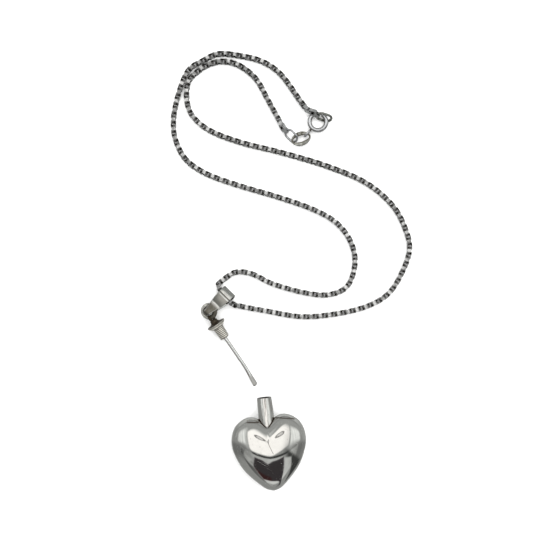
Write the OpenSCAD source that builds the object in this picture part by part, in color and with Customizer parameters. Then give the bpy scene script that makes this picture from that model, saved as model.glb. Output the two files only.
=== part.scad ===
// Heart shaped perfume bottle pendant, taken apart and laid flat with its box chain.
// Millimetres. The floor is z = 0 and the origin is the middle of the layout.

/* [Heart bottle] */
// Half the width of the heart
heart_half_w = 12.55; // [11:0.05:14]
// Height of the heart from its tip to the tops of the lobes
heart_h = 25.2; // [23:0.1:28]
// Thickness of the puffed heart, front to back
heart_thick = 11.5; // [9:0.1:14]
// Thickness of the pressed sheet
heart_wall = 0.6; // [0.4:0.05:0.9]
// Height of the flat seam where the two halves are soldered
seam_h = 0.5; // [0.3:0.05:0.8]
// Roundness of the dome, where 2 is an ellipse and more is boxier
dome_power = 2.2; // [2:0.1:2.8]

/* [Bottle neck] */
// Distance from the tip of the heart to the mouth
mouth_h = 31.3; // [30:0.1:34]
// Outer diameter of the neck at the mouth
neck_d = 4.9; // [4.7:0.05:5.2]
// Outer diameter of the neck where it meets the heart
neck_base_d = 5.5; // [5.2:0.05:6]
// Bore of the neck
neck_bore_d = 3.9; // [3.8:0.05:4.1]

/* [Screw stopper] */
// Diameter of the flared collar
collar_d = 6.6; // [6:0.1:7.4]
// Height of the flare above the rim
collar_h = 1.8; // [1.6:0.1:2]
// Diameter of the stem above the flare
stem_d = 2.5; // [2.3:0.05:2.8]
// Diameter over the thread at its top
plug_d = 3.7; // [3.5:0.02:3.74]
// Diameter over the thread at its end
plug_tip_d = 3.4; // [3.2:0.02:3.5]
// Distance between thread crests
thread_pitch = 0.65; // [0.55:0.01:0.75]
// Number of thread crests
thread_crests = 7; // [5:1:8]
// Depth of the thread
thread_depth = 0.25; // [0.15:0.01:0.3]

/* [Dip rod] */
// Diameter of the rod
rod_d = 1.1; // [0.9:0.05:1.3]
// Straight length of rod from the plug to the bend
rod_top_l = 11.7; // [9:0.1:14]
// Length of rod from the bend to the tip
rod_end_l = 8.1; // [7:0.1:10]
// Sideways bend of the rod
rod_bend = 6.5; // [0:0.5:12]
// Width of the flattened tip
paddle_w = 1.7; // [1.3:0.05:2]
// Thickness of the flattened tip
paddle_t = 0.6; // [0.4:0.05:0.8]
// Length of the flattened tip
paddle_l = 6; // [4:0.1:6.5]

/* [Bail and jump ring] */
// Outside radius of the bail's round top
bail_r = 2.1; // [2:0.05:2.3]
// Thickness of the bail's strip
bail_t = 0.42; // [0.35:0.01:0.45]
// Length from the centre of the round top to the foot
bail_l = 9.5; // [9.4:0.05:9.7]
// Width of the bail at its top
bail_w = 4.85; // [4.6:0.05:5.1]
// Outer diameter of the jump ring
jump_d = 5.8; // [5.7:0.05:5.9]
// Wire diameter of the jump ring
jump_wire = 1; // [0.95:0.01:1.05]

/* [Box chain] */
// Width across the chain
chain_w = 1.8; // [1.6:0.05:1.85]
// Length of one end link
link_l = 2.2; // [2:0.05:2.4]
// Width of the strip that a link is made of
link_strip = 1; // [0.8:0.05:1.05]
// Thickness of that strip
link_t = 0.25; // [0.2:0.01:0.3]

/* [Clasp] */
// Outer diameter of the spring ring
clasp_d = 7.1; // [7:0.05:7.3]
// Diameter of the spring ring's tube
tube_d = 1.4; // [1.35:0.01:1.5]
// Diameter of the sliding bolt
bolt_d = 0.8; // [0.7:0.01:0.84]
// Clearance round the bolt
bolt_play = 0.05; // [0.03:0.01:0.06]
// Travel of the bolt
bolt_travel = 60; // [50:1:60]

/* [Connecting rings] */
// Length of the end ring over its wire
end_ring_l = 6; // [5.8:0.05:6.2]
// Width of the end ring over its wire
end_ring_w = 4.2; // [4:0.05:4.4]
// Wire of the end ring
end_ring_wire = 0.7; // [0.65:0.01:0.75]
// Length of the flattened ring
tag_l = 6.7; // [6.5:0.05:6.9]
// Width of the flattened ring
tag_w = 4.8; // [4.6:0.05:5]
// Thickness of the flattened ring
tag_t = 0.5; // [0.4:0.01:0.6]
// Length of the thin oval ring over its wire
oval_l = 5.5; // [5.4:0.05:5.7]
// Width of the thin oval ring over its wire
oval_w = 3.9; // [3.8:0.05:4.1]
// Wire of the thin oval ring
oval_wire = 0.7; // [0.6:0.01:0.75]

/* [Hidden] */
$fn = 48;
eps = 0.01;

// Where the loose pieces lie: each place is [x, y, z] and each turn is in degrees about +Z.
BOTTLE_PLACE = [-5.9, -74, 0];
BOTTLE_TURN = 6.25;
STOPPER_PLACE = [-25.4, -18.65, 0];
STOPPER_TURN = 124;
STOPPER_LEAN = 6.6;
EYE_TURN = 60;
BAIL_PLACE = [-22.2, -8.7, 2.4];
BAIL_TURN = 222.8;
BAIL_LEAN = 21.5;
BAIL_ROLL = 8;
JUMP_PLACE = [-27.85, -14.1, 4.1];
JUMP_TURN = -50;
JUMP_LEAN = 22;
CLASP_PLACE = [8.9, 50, 1.6];
END_RING_PLACE = [10.95, 51.5, 2.12];
END_RING_TURN = -16;
END_RING_DIP = 16.5;
END_RING_ROLL = 56.5;
TAG_PLACE = [3.2, 44.3, 1.5];
TAG_TURN = 18;
OVAL_PLACE = [-0.1, 45.3, 1.45];
OVAL_TURN = -45;
OVAL_ROLL = 40;
LINK_A_PLACE = [8.45, 52.25, 3.05];
LINK_A_ROLL = -36.5;
LINK_A_DIP = 15;
LINK_A_TURN = -31.5;
LINK_B_PLACE = [-2, 47.15, 1.4];
LINK_B_ROLL = -50;
LINK_B_DIP = -7;
LINK_B_TURN = -46.5;

// Heart outline: [half width, height above the tip], as shares of the heart's half width and height.
HEART_HALF = [[0, 0], [0.2, 0.035], [0.47, 0.155], [0.74, 0.31], [0.91, 0.48], [0.99, 0.62],
              [0.975, 0.76], [0.87, 0.885], [0.66, 0.97], [0.45, 1], [0.24, 0.97], [0, 0.885]];
HEART_MID = 0.6;
SPAN_STEPS = 2;
DOME_RINGS = 6;
CAVITY_RINGS = 4;

// Height of the cleft, and how far the neck and its bore run into the heart below it
cleft_h = HEART_HALF[len(HEART_HALF) - 1][1] * heart_h;
neck_lap = 1.5;
bore_lap = 4.2;

// Route of the chain's centre line over the floor, from the clasp through the bail and back: [x, y, z].
CHAIN_ROUTE = [
    [7.1, 53.1, 3.35], [5.3, 54, 2.7], [3, 57, 1.4], [-3.5, 66, 0.9], [-10, 70.5, 0.9], [-18, 72.5, 0.9],
    [-25, 73, 0.9], [-30.5, 70.5, 0.9], [-34.5, 68, 0.9], [-37, 63.5, 0.9], [-39, 57, 0.9],
    [-40, 51, 0.9], [-39.5, 44.5, 0.9], [-36, 37.5, 0.9], [-29, 32.5, 0.9], [-18, 28.5, 0.9],
    [-4.5, 24.5, 0.9], [7, 20.5, 0.9], [15, 16, 0.9], [20, 9.5, 0.9], [21.5, 2, 0.9], [19, -5.5, 0.9],
    [13, -8.5, 0.9], [5, -8, 0.9], [-6, -5, 0.9], [-13.5, -1.5, 0.9], [-19, -1, 0.9], [-23, -3.5, 0.9],
    [-24.7, -6, 1.2], [-20.3, -11.3, 2.5], [-17, -12.5, 1.2], [-9, -14, 0.95], [3.5, -16, 0.9],
    [15.5, -15, 0.9], [25.5, -12.5, 0.9], [32.5, -8.5, 0.9], [37, -2, 0.9], [40, 6.5, 0.9],
    [38.5, 14, 0.9], [34, 22, 0.9], [25, 29.5, 0.9], [12, 35, 0.9], [-3, 39.5, 0.9], [-17, 43, 0.9],
    [-27.5, 47, 0.9], [-33.5, 52, 0.9], [-35.5, 57.5, 0.9], [-35, 63.5, 0.9], [-32, 67, 0.9],
    [-28, 69.5, 0.9], [-23, 70.5, 0.9], [-17.5, 69, 0.9], [-12, 64.5, 0.9], [-8, 57.5, 0.9],
    [-2.9, 48.2, 1.2]];
CHAIN_SIDES = 8;
LONG_SPAN = 8.2;
link_corner_r = 0.4;

// Collar: the straight stem's half length, the thin rim and the light cone below it
stem_l = 0.3;
rim_t = 0.2;
rim_w = 0.5;
rim_drop = 0.12;
flare_lip = 0.05;
FLARE_STEP = 15;

// Thread: depth of the cone above it, and the shares of a pitch where its root and crest lie
plug_top = 0.7;
ROOT_SHARE = 0.2;
CREST_FROM = 0.5;
CREST_TO = 0.7;
plug_l = plug_top + thread_pitch * thread_crests;

// Rod: its socket in the plug, the play and overlaps there, and how much thinner each part of it is
rod_socket = 2.5;
rod_play = 0.03;
rod_end_gap = 0.2;
rod_lap = 0.3;
rod_step = 0.02;
paddle_corner_d = 0.9;
paddle_shoulder = 0.8;
PADDLE_SIDES = 32;

// Eye of the stopper: radius of its circle, its wire, and its height above the flare
eye_r = 1.2;
eye_wire = 0.9;
eye_rise = 1.1;
eye_h = collar_h + eye_rise;

// Bail: where the strip leaves its round top, above and below, and the radius of its foot
bail_crease_x = 1.1;
bail_crease_h = 1.65;
bail_foot_r = 1.3;

// Outline of the bail from above: [distance from the round top's centre, share of the half width].
BAIL_TAPER = [[-3, 1], [2.5, 0.96], [5.6, 0.73], [8.1, 0.47], [10, 0.3]];

// Clasp angles, counted from +X: the gap in the tube, the closed bolt's two ends and its nub
clasp_r = (clasp_d - tube_d) / 2;
gap_from = 62;
gap_to = 118;
bolt_tip = 58;
bolt_tail = 152;
nub_at = 148;
nub_half = 5;
nub_h = 0.44;
nub_out = 0.5;
slot_h = 0.6;
tube_bore_end = 216;
clasp_eye_at = 228;
clasp_eye_l = 3.6;
clasp_eye_w = 3.15;
clasp_eye_wire = 0.75;
clasp_eye_lap = 0.15;

// Flattened ring: radii of the ends of its outline and hole, and how much smaller the hole is
tag_end_r = 1.6;
tag_hole_end_r = 0.75;
tag_hole_less = [1.1, 2.7];

// A point on the smooth curve through b and c, with a and d the points beside them.
function smooth(a, b, c, d, t) =
    (2 * b + (c - a) * t + (2 * a - 5 * b + 4 * c - d) * t * t + (3 * b - a - 3 * c + d) * t * t * t) / 2;

// The smooth curve through span i of a list of points.
function along(list, i, t) =
    smooth(list[max(i - 1, 0)], list[i], list[i + 1], list[min(i + 2, len(list) - 1)], t);

function unit(v) = v / norm(v);

// Right half of the heart's outline in millimetres, from the tip to the cleft.
function half_outline() = [
    for (i = [0 : len(HEART_HALF) - 2], k = [0 : SPAN_STEPS - 1])
        let (p = along(HEART_HALF, i, k / SPAN_STEPS)) [p[0] * heart_half_w, p[1] * heart_h],
    [0, cleft_h]];

// The whole outline, round from the tip up the right side and down the left.
function outline() =
    let (half = half_outline(), n = len(half))
    concat(half, [for (i = [n - 2 : -1 : 1]) [-half[i][0], half[i][1]]]);

// A closed puffed heart: its outline drawn in by inset, domed to half the given thickness.
module puffed_heart(inset, thick, rings, edge_h) {
    middle = [0, HEART_MID * heart_h];
    points = [for (p = outline()) let (v = p - middle) v * (1 - inset / norm(v))];
    n = len(points);
    layers = [for (k = [-rings + 1 : rings]) k];
    heights = [for (k = layers) k > 0 ? k - 1 : k];
    function ring_scale(j) = pow(cos(90 * j / rings), 2 / dome_power);
    function ring_rise(j) = edge_h / 2 + (thick - edge_h) / 2 * pow(sin(90 * j / rings), 2 / dome_power);
    skin = [
        for (i = [0 : len(layers) - 1], p = points)
            let (j = abs(heights[i]), side = layers[i] > 0 ? 1 : -1)
            [middle[0] + p[0] * ring_scale(j), middle[1] + p[1] * ring_scale(j), side * ring_rise(j)]];
    bottom = len(skin);
    poles = [[middle[0], middle[1], -thick / 2], [middle[0], middle[1], thick / 2]];
    last = (len(layers) - 1) * n;
    faces = concat(
        [for (i = [0 : len(layers) - 2], k = [0 : n - 1])
            let (a = i * n + k, b = i * n + (k + 1) % n) [a, a + n, b]],
        [for (i = [0 : len(layers) - 2], k = [0 : n - 1])
            let (a = i * n + k, b = i * n + (k + 1) % n) [b, a + n, b + n]],
        [for (k = [0 : n - 1]) [bottom, k, (k + 1) % n]],
        [for (k = [0 : n - 1]) [bottom + 1, last + (k + 1) % n, last + k]]);
    polyhedron(points = concat(skin, poles), faces = faces);
}

// Axis along +Y from the tip, lying with its back on the floor.
module bottle() {
    color("silver")
    translate(BOTTLE_PLACE + [0, 0, heart_thick / 2])
    rotate([0, 0, BOTTLE_TURN])
    difference() {
        union() {
            puffed_heart(0, heart_thick, DOME_RINGS, seam_h);
            translate([0, mouth_h, 0])
            rotate([90, 0, 0])
            cylinder(h = mouth_h - cleft_h + neck_lap, d1 = neck_d, d2 = neck_base_d);
        }
        puffed_heart(heart_wall, heart_thick - 2 * heart_wall, CAVITY_RINGS, seam_h);
        translate([0, mouth_h + eps, 0])
        rotate([90, 0, 0])
        cylinder(h = mouth_h - cleft_h + bore_lap, d = neck_bore_d);
    }
}

// The stopper's own frame: origin at the rim's centre, +Z towards the eye.
module stopper_frame() {
    translate(STOPPER_PLACE + [0, 0, collar_d / 2 * cos(STOPPER_LEAN)])
    rotate([0, 90 - STOPPER_LEAN, STOPPER_TURN])
    children();
}

// Half section of the collar and the threaded plug, as [radius, height].
function stopper_section() =
    let (core = plug_d / 2 - thread_depth, end_core = plug_tip_d / 2 - thread_depth,
         slope = (core - end_core) / (plug_l - plug_top),
         flare_w = (collar_d - stem_d) / 2, flare_top = collar_h - stem_l)
    concat(
        [[0, collar_h + stem_l], [stem_d / 2, collar_h + stem_l], [stem_d / 2, flare_top]],
        [for (a = [FLARE_STEP : FLARE_STEP : 90 - FLARE_STEP])
            [collar_d / 2 - flare_w * cos(a), flare_top - (flare_top - rim_t - flare_lip) * sin(a)]],
        [[collar_d / 2, rim_t], [collar_d / 2, 0], [collar_d / 2 - rim_w, -rim_drop], [plug_d / 2, -plug_top]],
        [for (i = [0 : thread_crests - 1])
            let (z = plug_top + thread_pitch * i, r = core - slope * thread_pitch * i,
                 rise = z + thread_pitch * ROOT_SHARE, crest = z + thread_pitch * CREST_FROM,
                 fall = z + thread_pitch * CREST_TO)
            each [[r, -z], [r, -rise], [r + thread_depth, -crest], [r + thread_depth, -fall]]],
        [[end_core, -plug_l], [0, -plug_l]]);

// Eye, flared collar and threaded plug, soldered in one.
module stopper() {
    color("dimgray")
    stopper_frame()
    difference() {
        union() {
            rotate_extrude() polygon(stopper_section());
            translate([0, 0, eye_h])
            rotate([0, 90, EYE_TURN])
            rotate_extrude() translate([eye_r, 0]) circle(d = eye_wire);
        }
        translate([0, 0, -plug_l - eps])
        cylinder(h = rod_socket, d = rod_d + 2 * rod_play);
    }
}

// Round rod set in the plug, bent a little to the side and flattened at its tip.
module dip_rod() {
    color("gainsboro")
    stopper_frame()
    translate([0, 0, -plug_l - rod_top_l]) {
        translate([0, 0, -rod_lap])
        cylinder(h = rod_top_l + rod_socket - rod_end_gap + rod_lap, d = rod_d);
        rotate([rod_bend, 0, 0]) {
            translate([0, 0, paddle_l - rod_end_l])
            cylinder(h = rod_end_l - paddle_l + rod_lap, d = rod_d - rod_step);
            translate([0, 0, -rod_end_l])
            paddle();
        }
    }
}

// Flattened end of the rod, from its rounded tip at z = 0 up into the round rod.
module paddle() {
    hull() {
        translate([0, 0, paddle_l + rod_lap])
        cylinder(h = eps, d = rod_d - 2 * rod_step, $fn = PADDLE_SIDES);
        for (side = [-1, 1])
            translate([-paddle_t / 2, side * (paddle_w - paddle_corner_d) / 2, paddle_shoulder])
            rotate([0, 90, 0])
            cylinder(h = paddle_t, d = paddle_corner_d, $fn = PADDLE_SIDES);
        translate([-paddle_t / 2, 0, paddle_corner_d / 2])
        rotate([0, 90, 0])
        cylinder(h = paddle_t, d = paddle_corner_d, $fn = PADDLE_SIDES);
    }
}

// Round wire ring between the bail's foot and the stopper's eye.
module jump_ring() {
    color("gray")
    translate(JUMP_PLACE)
    rotate([0, 0, JUMP_TURN])
    rotate([JUMP_LEAN, 0, 0])
    rotate_extrude() translate([(jump_d - jump_wire) / 2, 0]) circle(d = jump_wire);
}

// Side view of the bail's strip folded round, drawn in by inset: +X runs to the foot.
module bail_side(inset) {
    foot_x = bail_l - bail_foot_r;
    circle(r = bail_r - inset);
    translate([foot_x, 0]) circle(r = bail_foot_r - inset);
    polygon([[0, inset - bail_crease_h], [bail_crease_x, inset - bail_crease_h],
             [foot_x, inset - bail_foot_r], [foot_x, bail_foot_r - inset],
             [bail_crease_x, bail_crease_h - inset], [0, bail_crease_h - inset]]);
}

// Strip folded into a loop: a round top for the chain, tapered leaves and a closed foot.
module bail() {
    color("darkgray")
    translate(BAIL_PLACE)
    rotate([0, 0, BAIL_TURN])
    rotate([BAIL_ROLL, -BAIL_LEAN, 0])
    intersection() {
        rotate([90, 0, 0])
        linear_extrude(height = 2 * bail_w, center = true)
        difference() {
            bail_side(0);
            bail_side(bail_t);
        }
        linear_extrude(height = 4 * bail_r, center = true)
        polygon(concat([for (p = BAIL_TAPER) [p[0], p[1] * bail_w / 2]],
                       [for (i = [len(BAIL_TAPER) - 1 : -1 : 0])
                           [BAIL_TAPER[i][0], -BAIL_TAPER[i][1] * bail_w / 2]]));
    }
}

// Rings of the chain's tube: every route point, and the middle of each long span.
function chain_stations() = [
    for (i = [0 : len(CHAIN_ROUTE) - 2])
        let (long = norm(CHAIN_ROUTE[i + 1] - CHAIN_ROUTE[i]) > LONG_SPAN)
        each (long ? [[i, 0], [i, 0.5]] : [[i, 0]]),
    [len(CHAIN_ROUTE) - 2, 1]];

// Whole box chain as one tube as wide as its links.
module chain() {
    stations = chain_stations();
    centres = [for (s = stations) along(CHAIN_ROUTE, s[0], s[1])];
    count = len(centres);
    radius = chain_w / 2 / cos(180 / CHAIN_SIDES);
    skin = [
        for (i = [0 : count - 1])
            let (ahead = unit(centres[min(i + 1, count - 1)] - centres[max(i - 1, 0)]),
                 side = unit(cross([0, 0, 1], ahead)), up = cross(ahead, side))
            for (k = [0 : CHAIN_SIDES - 1])
                let (a = 360 * (k + 0.5) / CHAIN_SIDES)
                centres[i] + radius * (cos(a) * side + sin(a) * up)];
    faces = concat(
        [[for (k = [0 : CHAIN_SIDES - 1]) k]],
        [for (i = [0 : count - 2], k = [0 : CHAIN_SIDES - 1])
            let (a = i * CHAIN_SIDES + k, b = i * CHAIN_SIDES + (k + 1) % CHAIN_SIDES)
            [a, a + CHAIN_SIDES, b]],
        [for (i = [0 : count - 2], k = [0 : CHAIN_SIDES - 1])
            let (a = i * CHAIN_SIDES + k, b = i * CHAIN_SIDES + (k + 1) % CHAIN_SIDES)
            [b, a + CHAIN_SIDES, b + CHAIN_SIDES]],
        [[for (k = [CHAIN_SIDES - 1 : -1 : 0]) (count - 1) * CHAIN_SIDES + k]]);
    color("slategray") polyhedron(points = skin, faces = faces);
}

// Rectangle with round corners, drawn from squares and circles.
module round_rect(l, w, r) {
    square([l - 2 * r, w], center = true);
    square([l, w - 2 * r], center = true);
    for (x = [-1, 1], y = [-1, 1])
        translate([x * (l / 2 - r), y * (w / 2 - r)]) circle(r = r);
}

// One box link: a strip bent into a rectangle, long along X.
module box_link() {
    difference() {
        linear_extrude(height = link_strip, center = true)
        round_rect(link_l, chain_w, link_corner_r);
        linear_extrude(height = 2 * link_strip, center = true)
        round_rect(link_l - 2 * link_t, chain_w - 2 * link_t, link_corner_r - link_t);
    }
}

// Last link at the clasp's end, round the end ring.
module end_link_a() {
    color("silver")
    translate(LINK_A_PLACE)
    rotate([LINK_A_ROLL, LINK_A_DIP, LINK_A_TURN])
    box_link();
}

// Last link at the other end, round the thin oval ring.
module end_link_b() {
    color("silver")
    translate(LINK_B_PLACE)
    rotate([LINK_B_ROLL, LINK_B_DIP, LINK_B_TURN])
    box_link();
}

// Closed ring of round wire bent to an oval, long along X.
module wire_oval(l, w, wire) {
    turn_r = (w - wire) / 2;
    straight = l - w;
    for (s = [0, 180])
        rotate([0, 0, s]) {
            translate([straight / 2, 0, 0])
            rotate([0, 0, -90])
            rotate_extrude(angle = 180) translate([turn_r, 0]) circle(d = wire);
            translate([-straight / 2, turn_r, 0])
            rotate([0, 90, 0])
            cylinder(h = straight, d = wire);
        }
}

// Radius of the long sides of a four-arc oval with half axes a and b and end radius r.
function side_radius(a, b, r) = ((a - r) * (a - r) + b * b - r * r) / (2 * (b - r));

// Flat oval of four arcs, long along X.
module flat_oval(l, w, end_r) {
    a = l / 2;
    b = w / 2;
    r = side_radius(a, b, end_r);
    half = atan2(r - b, a - end_r);
    turn_x = a - end_r + end_r * cos(half);
    for (s = [-1, 1])
        translate([s * (a - end_r), 0]) circle(r = end_r);
    intersection() {
        translate([0, b - r]) circle(r = r);
        translate([0, r - b]) circle(r = r);
        square([2 * turn_x, w], center = true);
    }
}

// Oval ring that joins the chain's end to the clasp, leaning round the spring ring's tube.
module end_ring() {
    color("silver")
    translate(END_RING_PLACE)
    rotate([0, 0, END_RING_TURN])
    rotate([0, END_RING_DIP, 0])
    rotate([END_RING_ROLL, 0, 0])
    wire_oval(end_ring_l, end_ring_w, end_ring_wire);
}

// Part of a round bar bent to the clasp's circle.
module clasp_arc(from, to, d) {
    rotate([0, 0, from])
    rotate_extrude(angle = to - from) translate([clasp_r, 0]) circle(d = d);
}

// Open tube ring with its bolt bore, thumb slot and soldered eye, lying level on its eye.
module spring_ring() {
    bore_d = bolt_d + 2 * bolt_play;
    color("silver")
    translate(CLASP_PLACE)
    difference() {
        union() {
            clasp_arc(gap_to, 360 + gap_from, tube_d);
            rotate([0, 0, clasp_eye_at])
            translate([(clasp_d + clasp_eye_l) / 2 - clasp_eye_lap, 0, 0])
            rotate([90, 0, 0])
            wire_oval(clasp_eye_l, clasp_eye_w, clasp_eye_wire);
        }
        clasp_arc(gap_to - 1, tube_bore_end, bore_d);
        clasp_arc(bolt_tip - 2, gap_from + 1, bore_d);
        rotate([0, 0, nub_at - nub_half - 1])
        rotate_extrude(angle = bolt_travel + 2 * nub_half + 2)
        translate([clasp_r + tube_d / 2, 0]) square([tube_d, slot_h], center = true);
    }
}

// Curved bolt that closes the gap, with the thumb nub that draws it back.
module clasp_bolt() {
    color("gainsboro")
    translate(CLASP_PLACE) {
        clasp_arc(bolt_tip, bolt_tail, bolt_d);
        rotate([0, 0, nub_at - nub_half])
        rotate_extrude(angle = 2 * nub_half)
        translate([clasp_r + bolt_d / 4, -nub_h / 2]) square([tube_d / 2 - bolt_d / 4 + nub_out, nub_h]);
    }
}

// Flattened oval ring with two broad sides.
module tag_ring() {
    color("silver")
    translate(TAG_PLACE)
    rotate([0, 0, TAG_TURN])
    linear_extrude(height = tag_t, center = true)
    difference() {
        flat_oval(tag_l, tag_w, tag_end_r);
        flat_oval(tag_l - tag_hole_less[0], tag_w - tag_hole_less[1], tag_hole_end_r);
    }
}

// Thin oval ring at the other end of the chain.
module oval_ring() {
    color("silver")
    translate(OVAL_PLACE)
    rotate([0, 0, OVAL_TURN])
    rotate([OVAL_ROLL, 0, 0])
    wire_oval(oval_l, oval_w, oval_wire);
}

bottle();
stopper();
dip_rod();
jump_ring();
bail();
chain();
end_link_a();
end_link_b();
end_ring();
spring_ring();
clasp_bolt();
tag_ring();
oval_ring();
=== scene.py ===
"""Looks of a silver heart perfume bottle pendant, laid open with its stopper and box chain.

Every piece is modelled in millimetres in its own frame and then set in place in metres.
"""

import logging
import math
from dataclasses import dataclass, field
from enum import Enum
from typing import Callable, Sequence

import bpy
import numpy as np
from mathutils import Matrix, Vector


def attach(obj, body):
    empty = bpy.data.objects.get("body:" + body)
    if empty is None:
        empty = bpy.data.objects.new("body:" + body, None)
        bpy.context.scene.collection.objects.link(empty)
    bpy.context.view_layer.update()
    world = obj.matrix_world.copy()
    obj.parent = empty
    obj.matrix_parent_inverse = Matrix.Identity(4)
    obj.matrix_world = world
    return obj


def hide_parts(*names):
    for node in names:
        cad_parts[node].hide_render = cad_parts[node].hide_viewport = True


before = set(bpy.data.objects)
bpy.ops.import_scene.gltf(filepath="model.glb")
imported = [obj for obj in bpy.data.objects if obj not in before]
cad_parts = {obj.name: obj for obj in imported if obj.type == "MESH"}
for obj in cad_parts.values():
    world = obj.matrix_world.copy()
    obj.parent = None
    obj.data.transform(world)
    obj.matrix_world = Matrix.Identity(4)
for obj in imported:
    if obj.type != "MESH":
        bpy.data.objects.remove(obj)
log = logging.getLogger("scene")

MM = 0.001
Point = tuple[float, float, float]
Colour = tuple[float, float, float]


class Slot(Enum):
    """Material slots of the record."""

    POLISHED = "polished_silver"
    TARNISHED = "tarnished_silver"
    BRIGHT = "bright_silver"
    AGED = "aged_silver"
    CHAIN = "chain_silver"


# Shader maths


class Sock:
    """An output socket that takes arithmetic: each operator adds one Math node."""

    def __init__(self, graph: "Graph", socket: bpy.types.NodeSocket) -> None:
        """Keep the graph and the socket."""
        self.graph = graph
        self.socket = socket

    def _math(self, operation: str, first: object, second: object = None) -> "Sock":
        """Add a Math node.

        Args:
            operation: the node's operation.
            first: first value or socket.
            second: second value or socket, if the operation has one.

        Returns:
            The node's result.
        """
        values = [first] if second is None else [first, second]
        return self.graph.add("ShaderNodeMath", {"operation": operation}, values)

    def __add__(self, other: object) -> "Sock":
        """Sum."""
        return self._math("ADD", self, other)

    def __radd__(self, other: object) -> "Sock":
        """Sum, the other way round."""
        return self._math("ADD", other, self)

    def __sub__(self, other: object) -> "Sock":
        """Difference."""
        return self._math("SUBTRACT", self, other)

    def __rsub__(self, other: object) -> "Sock":
        """Difference, the other way round."""
        return self._math("SUBTRACT", other, self)

    def __mul__(self, other: object) -> "Sock":
        """Product."""
        return self._math("MULTIPLY", self, other)

    def __rmul__(self, other: object) -> "Sock":
        """Product, the other way round."""
        return self._math("MULTIPLY", other, self)

    def __truediv__(self, other: object) -> "Sock":
        """Quotient."""
        return self._math("DIVIDE", self, other)

    def __rtruediv__(self, other: object) -> "Sock":
        """Quotient, the other way round."""
        return self._math("DIVIDE", other, self)

    def __pow__(self, other: object) -> "Sock":
        """Power."""
        return self._math("POWER", self, other)

    def __abs__(self) -> "Sock":
        """Absolute value."""
        return self._math("ABSOLUTE", self)

    def wave(self) -> "Sock":
        """Sine."""
        return self._math("SINE", self)

    def most(self, other: object) -> "Sock":
        """The larger of the two."""
        return self._math("MAXIMUM", self, other)

    def least(self, other: object) -> "Sock":
        """The smaller of the two."""
        return self._math("MINIMUM", self, other)

    def rise(self, low: float, high: float) -> "Sock":
        """Smooth mask that goes from 0 at low to 1 at high, also where low is the larger.

        Args:
            low: the value where the mask is 0.
            high: the value where it is 1.

        Returns:
            The mask.
        """
        if low > high:
            return 1.0 - self.rise(high, low)
        settings = {"interpolation_type": "SMOOTHSTEP", "clamp": True}
        inputs = {"Value": self, "From Min": low, "From Max": high}
        return self.graph.add("ShaderNodeMapRange", settings, inputs)

    def band(self, low: float, high: float, soft: float) -> "Sock":
        """Smooth mask that is 1 from low to high, with edges as wide as soft."""
        return self.rise(low - soft, low + soft) * self.rise(high + soft, high - soft)


class Graph:
    """The node tree of one material or of the world."""

    def __init__(self, tree: bpy.types.NodeTree) -> None:
        """Empty the tree."""
        self.tree = tree
        tree.nodes.clear()

    def node(self, kind: str, settings: dict, inputs: object) -> bpy.types.Node:
        """Add a node.

        Args:
            kind: the node's type.
            settings: its properties, which are set first.
            inputs: values or sockets, as a list in order or a dict by name.

        Returns:
            The node.
        """
        made = self.tree.nodes.new(kind)
        for key, value in settings.items():
            setattr(made, key, value)
        items = inputs.items() if isinstance(inputs, dict) else enumerate(inputs)
        for key, value in items:
            if isinstance(value, Sock):
                self.tree.links.new(value.socket, made.inputs[key])
            else:
                made.inputs[key].default_value = value
        return made

    def add(self, kind: str, settings: dict, inputs: object, output: object = 0) -> Sock:
        """Add a node and wrap one of its outputs."""
        return Sock(self, self.node(kind, settings, inputs).outputs[output])

    def local(self, place: Matrix) -> Sock:
        """A piece's own coordinates in millimetres.

        Args:
            place: the piece's place, in millimetres.

        Returns:
            The coordinates as a vector.
        """
        here = self.add("ShaderNodeTexCoord", {}, {}, "Object")
        inputs = {
            "Vector": here,
            "Location": tuple(place.translation * MM),
            "Rotation": tuple(place.to_euler("XYZ")),
            "Scale": (MM, MM, MM),
        }
        return self.add("ShaderNodeMapping", {"vector_type": "TEXTURE"}, inputs)

    def parts(self, vector: Sock) -> tuple[Sock, Sock, Sock]:
        """Split a vector into its three values."""
        split = self.node("ShaderNodeSeparateXYZ", {}, [vector])
        return tuple(Sock(self, split.outputs[i]) for i in range(3))

    def scaled(self, vector: Sock, by: Point) -> Sock:
        """Stretch a vector."""
        return self.add("ShaderNodeVectorMath", {"operation": "MULTIPLY"}, [vector, by])

    def noise(self, vector: Sock, scale: float, detail: float = 3.0) -> Sock:
        """Noise from 0 to 1 over a vector in millimetres."""
        inputs = {"Vector": vector, "Scale": scale, "Detail": detail, "Roughness": 0.6}
        return self.add("ShaderNodeTexNoise", {}, inputs, "Fac")

    def scratches(self, vector: Sock, heading: float, scale: float) -> Sock:
        """Fine straight scratches, 1 on a scratch and 0 beside it.

        Args:
            vector: the piece's coordinates in millimetres.
            heading: the scratches' direction, in degrees.
            scale: how close together they are.

        Returns:
            The mask.
        """
        inputs = {"Vector": vector, "Rotation": (0, 0, math.radians(heading))}
        along = self.add("ShaderNodeMapping", {}, inputs)
        thin = self.scaled(along, (0.04, 1.0, 1.0))
        return self.noise(thin, scale, 2.0).rise(0.66, 0.74)

    def blend(self, factor: object, first: object, second: object) -> Sock:
        """Mix two colours by a mask.

        Args:
            factor: the mask, 0 for the first colour and 1 for the second.
            first: a colour or its socket.
            second: a colour or its socket.

        Returns:
            The mixed colour.
        """
        colours = [c if isinstance(c, Sock) else (*c, 1.0) for c in (first, second)]
        return self.add("ShaderNodeMix", {"data_type": "RGBA"}, {0: factor, 6: colours[0], 7: colours[1]}, 2)


# Finishes


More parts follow.
